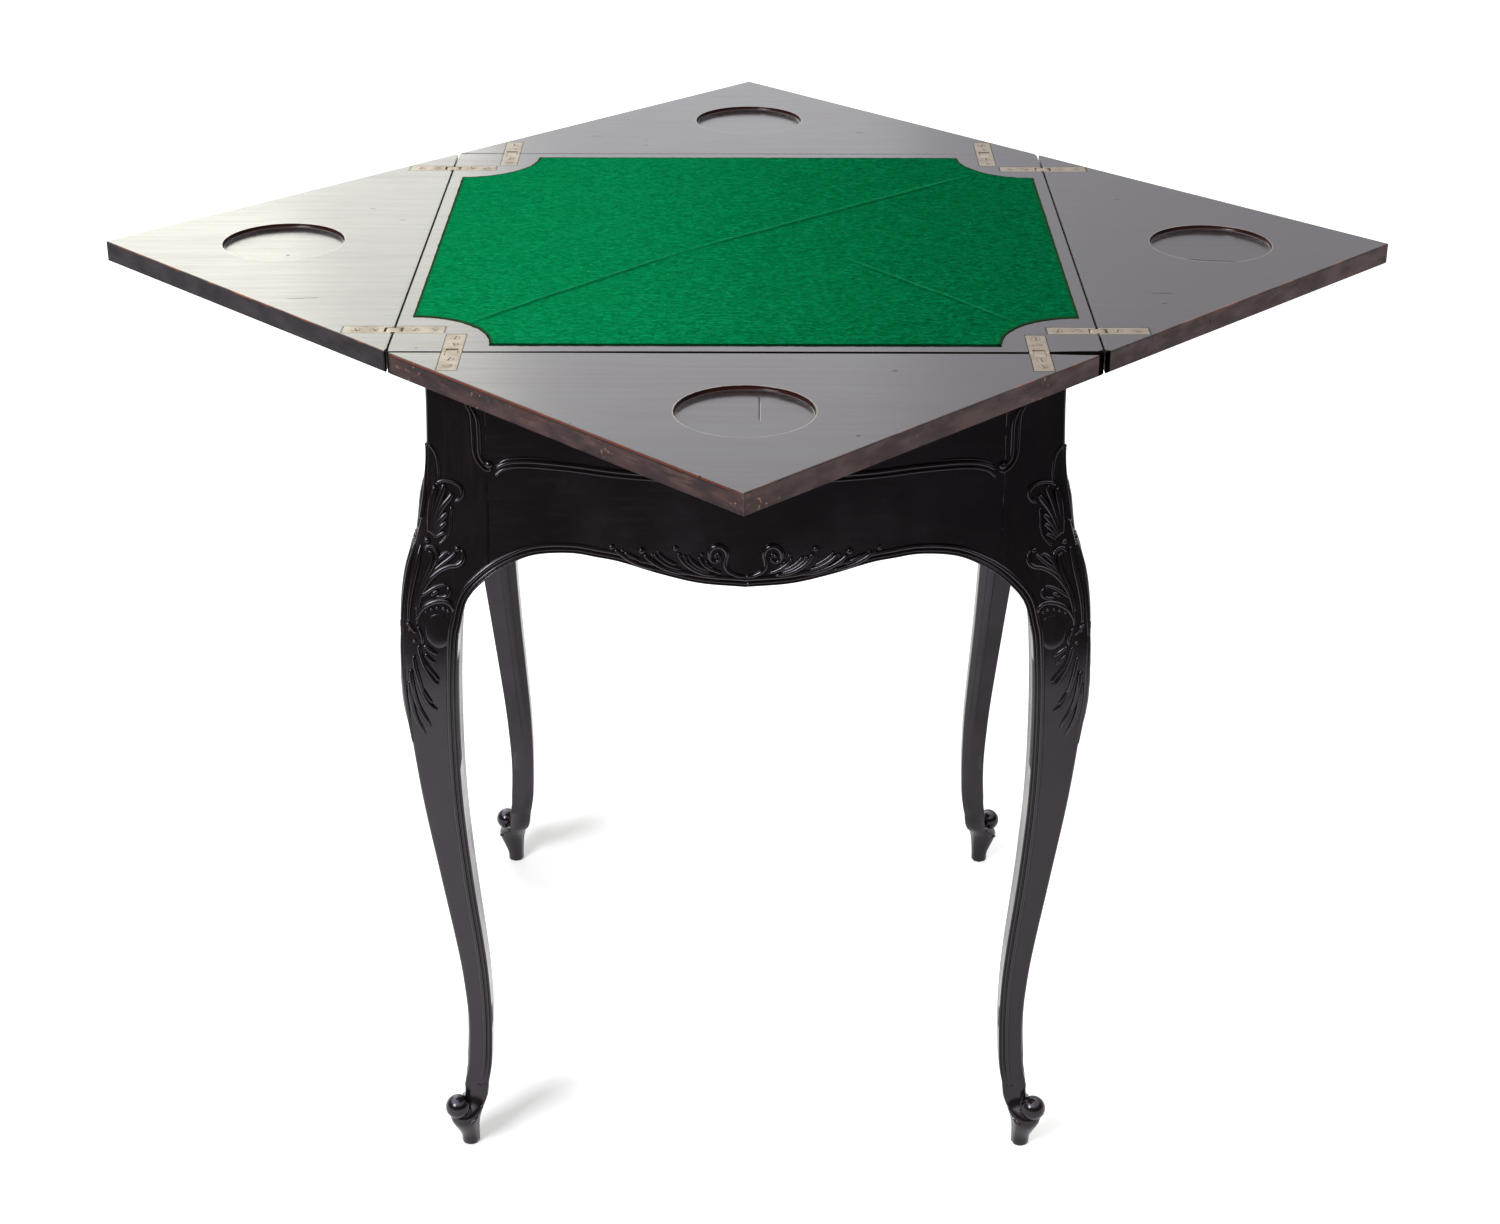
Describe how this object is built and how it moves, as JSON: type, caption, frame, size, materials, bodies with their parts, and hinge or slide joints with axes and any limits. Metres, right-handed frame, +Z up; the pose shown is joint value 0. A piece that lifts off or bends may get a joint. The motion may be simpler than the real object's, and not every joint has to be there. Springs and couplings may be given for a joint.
{
  "type": "envelope games table",
  "caption": "Square games table on cabriole legs with scroll feet: baize centre panel, triangular leaves that fold over it like an envelope on brass link hinges, and a swivelling top.",
  "frame": {"origin": "on the floor, under the middle of the top", "axes": "+Z up, +X to the right and -Y towards the front of the table as pictured; the base's sides run along X and Y"},
  "size_m": [1.0788, 1.0788, 0.7457],
  "materials": {
    "ebonised_wood": "ebonised satin, black with a faint violet-brown sheen",
    "polished_board": "dark stained board, satin polish, edges rubbed to red-brown",
    "inner_wood": "plain unpolished beech",
    "green_baize": "woollen baize with a worn nap",
    "worn_brass": "worn, unlacquered",
    "dark_steel": "dark, dull"
  },
  "bodies": {
    "base": {"leg_front_left": "ebonised_wood", "leg_front_right": "ebonised_wood", "leg_back_left": "ebonised_wood", "leg_back_right": "ebonised_wood", "apron_front": "ebonised_wood", "apron_back": "ebonised_wood", "apron_left": "ebonised_wood", "apron_right": "ebonised_wood", "cross_bearer": "inner_wood"},
    "top": {"centre_panel": "polished_board", "baize": "green_baize", "pivot_bolt": "dark_steel", "pivot_washer": "dark_steel", "pivot_nut": "dark_steel", "stop_peg": "inner_wood", "hinge_right_1_panel_plate": "worn_brass", "hinge_right_1_inner_pin": "worn_brass", "hinge_right_2_panel_plate": "worn_brass", "hinge_right_2_inner_pin": "worn_brass", "hinge_back_1_panel_plate": "worn_brass", "hinge_back_1_inner_pin": "worn_brass", "hinge_back_2_panel_plate": "worn_brass", "hinge_back_2_inner_pin": "worn_brass", "hinge_left_1_panel_plate": "worn_brass", "hinge_left_1_inner_pin": "worn_brass", "hinge_left_2_panel_plate": "worn_brass", "hinge_left_2_inner_pin": "worn_brass", "hinge_front_1_panel_plate": "worn_brass", "hinge_front_1_inner_pin": "worn_brass", "hinge_front_2_panel_plate": "worn_brass", "hinge_front_2_inner_pin": "worn_brass"},
    "links_right": {"hinge_right_1_link": "worn_brass", "hinge_right_2_link": "worn_brass"},
    "leaf_right": {"leaf_right": "polished_board", "hinge_right_1_leaf_plate": "worn_brass", "hinge_right_1_outer_pin": "worn_brass", "hinge_right_2_leaf_plate": "worn_brass", "hinge_right_2_outer_pin": "worn_brass"},
    "links_back": {"hinge_back_1_link": "worn_brass", "hinge_back_2_link": "worn_brass"},
    "leaf_back": {"leaf_back": "polished_board", "hinge_back_1_leaf_plate": "worn_brass", "hinge_back_1_outer_pin": "worn_brass", "hinge_back_2_leaf_plate": "worn_brass", "hinge_back_2_outer_pin": "worn_brass"},
    "links_left": {"hinge_left_1_link": "worn_brass", "hinge_left_2_link": "worn_brass"},
    "leaf_left": {"leaf_left": "polished_board", "hinge_left_1_leaf_plate": "worn_brass", "hinge_left_1_outer_pin": "worn_brass", "hinge_left_2_leaf_plate": "worn_brass", "hinge_left_2_outer_pin": "worn_brass"},
    "links_front": {"hinge_front_1_link": "worn_brass", "hinge_front_2_link": "worn_brass"},
    "leaf_front": {"leaf_front": "polished_board", "hinge_front_1_leaf_plate": "worn_brass", "hinge_front_1_outer_pin": "worn_brass", "hinge_front_2_leaf_plate": "worn_brass", "hinge_front_2_outer_pin": "worn_brass"}
  },
  "joints": [
    {"name": "top_swivel", "type": "hinge", "parent": "base", "child": "top", "pos_m": [0, 0, 0.728], "axis": [0, 0, 1], "range_deg": [0, 45]},
    {"name": "links_right_turn", "type": "hinge", "parent": "top", "child": "links_right", "pos_m": [0.266, 0, 0.7418], "axis": [0, -1, 0], "range_deg": [0, 90]},
    {"name": "leaf_right_fold", "type": "hinge", "parent": "links_right", "child": "leaf_right", "pos_m": [0.274, 0, 0.7418], "axis": [0, -1, 0], "range_deg": [0, 90]},
    {"name": "links_back_turn", "type": "hinge", "parent": "top", "child": "links_back", "pos_m": [0, 0.266, 0.7418], "axis": [1, 0, 0], "range_deg": [0, 90]},
    {"name": "leaf_back_fold", "type": "hinge", "parent": "links_back", "child": "leaf_back", "pos_m": [0, 0.274, 0.7418], "axis": [1, 0, 0], "range_deg": [0, 90]},
    {"name": "links_left_turn", "type": "hinge", "parent": "top", "child": "links_left", "pos_m": [-0.266, 0, 0.7418], "axis": [0, 1, 0], "range_deg": [0, 90]},
    {"name": "leaf_left_fold", "type": "hinge", "parent": "links_left", "child": "leaf_left", "pos_m": [-0.274, 0, 0.7418], "axis": [0, 1, 0], "range_deg": [0, 90]},
    {"name": "links_front_turn", "type": "hinge", "parent": "top", "child": "links_front", "pos_m": [0, -0.266, 0.7418], "axis": [-1, 0, 0], "range_deg": [0, 90]},
    {"name": "leaf_front_fold", "type": "hinge", "parent": "links_front", "child": "leaf_front", "pos_m": [0, -0.274, 0.7418], "axis": [-1, 0, 0], "range_deg": [0, 90]}
  ],
  "couplings": [
    {"joint": "links_right_turn", "follows": "leaf_right_fold", "ratio": 1},
    {"joint": "links_back_turn", "follows": "leaf_back_fold", "ratio": 1},
    {"joint": "links_left_turn", "follows": "leaf_left_fold", "ratio": 1},
    {"joint": "links_front_turn", "follows": "leaf_front_fold", "ratio": 1}
  ]
}
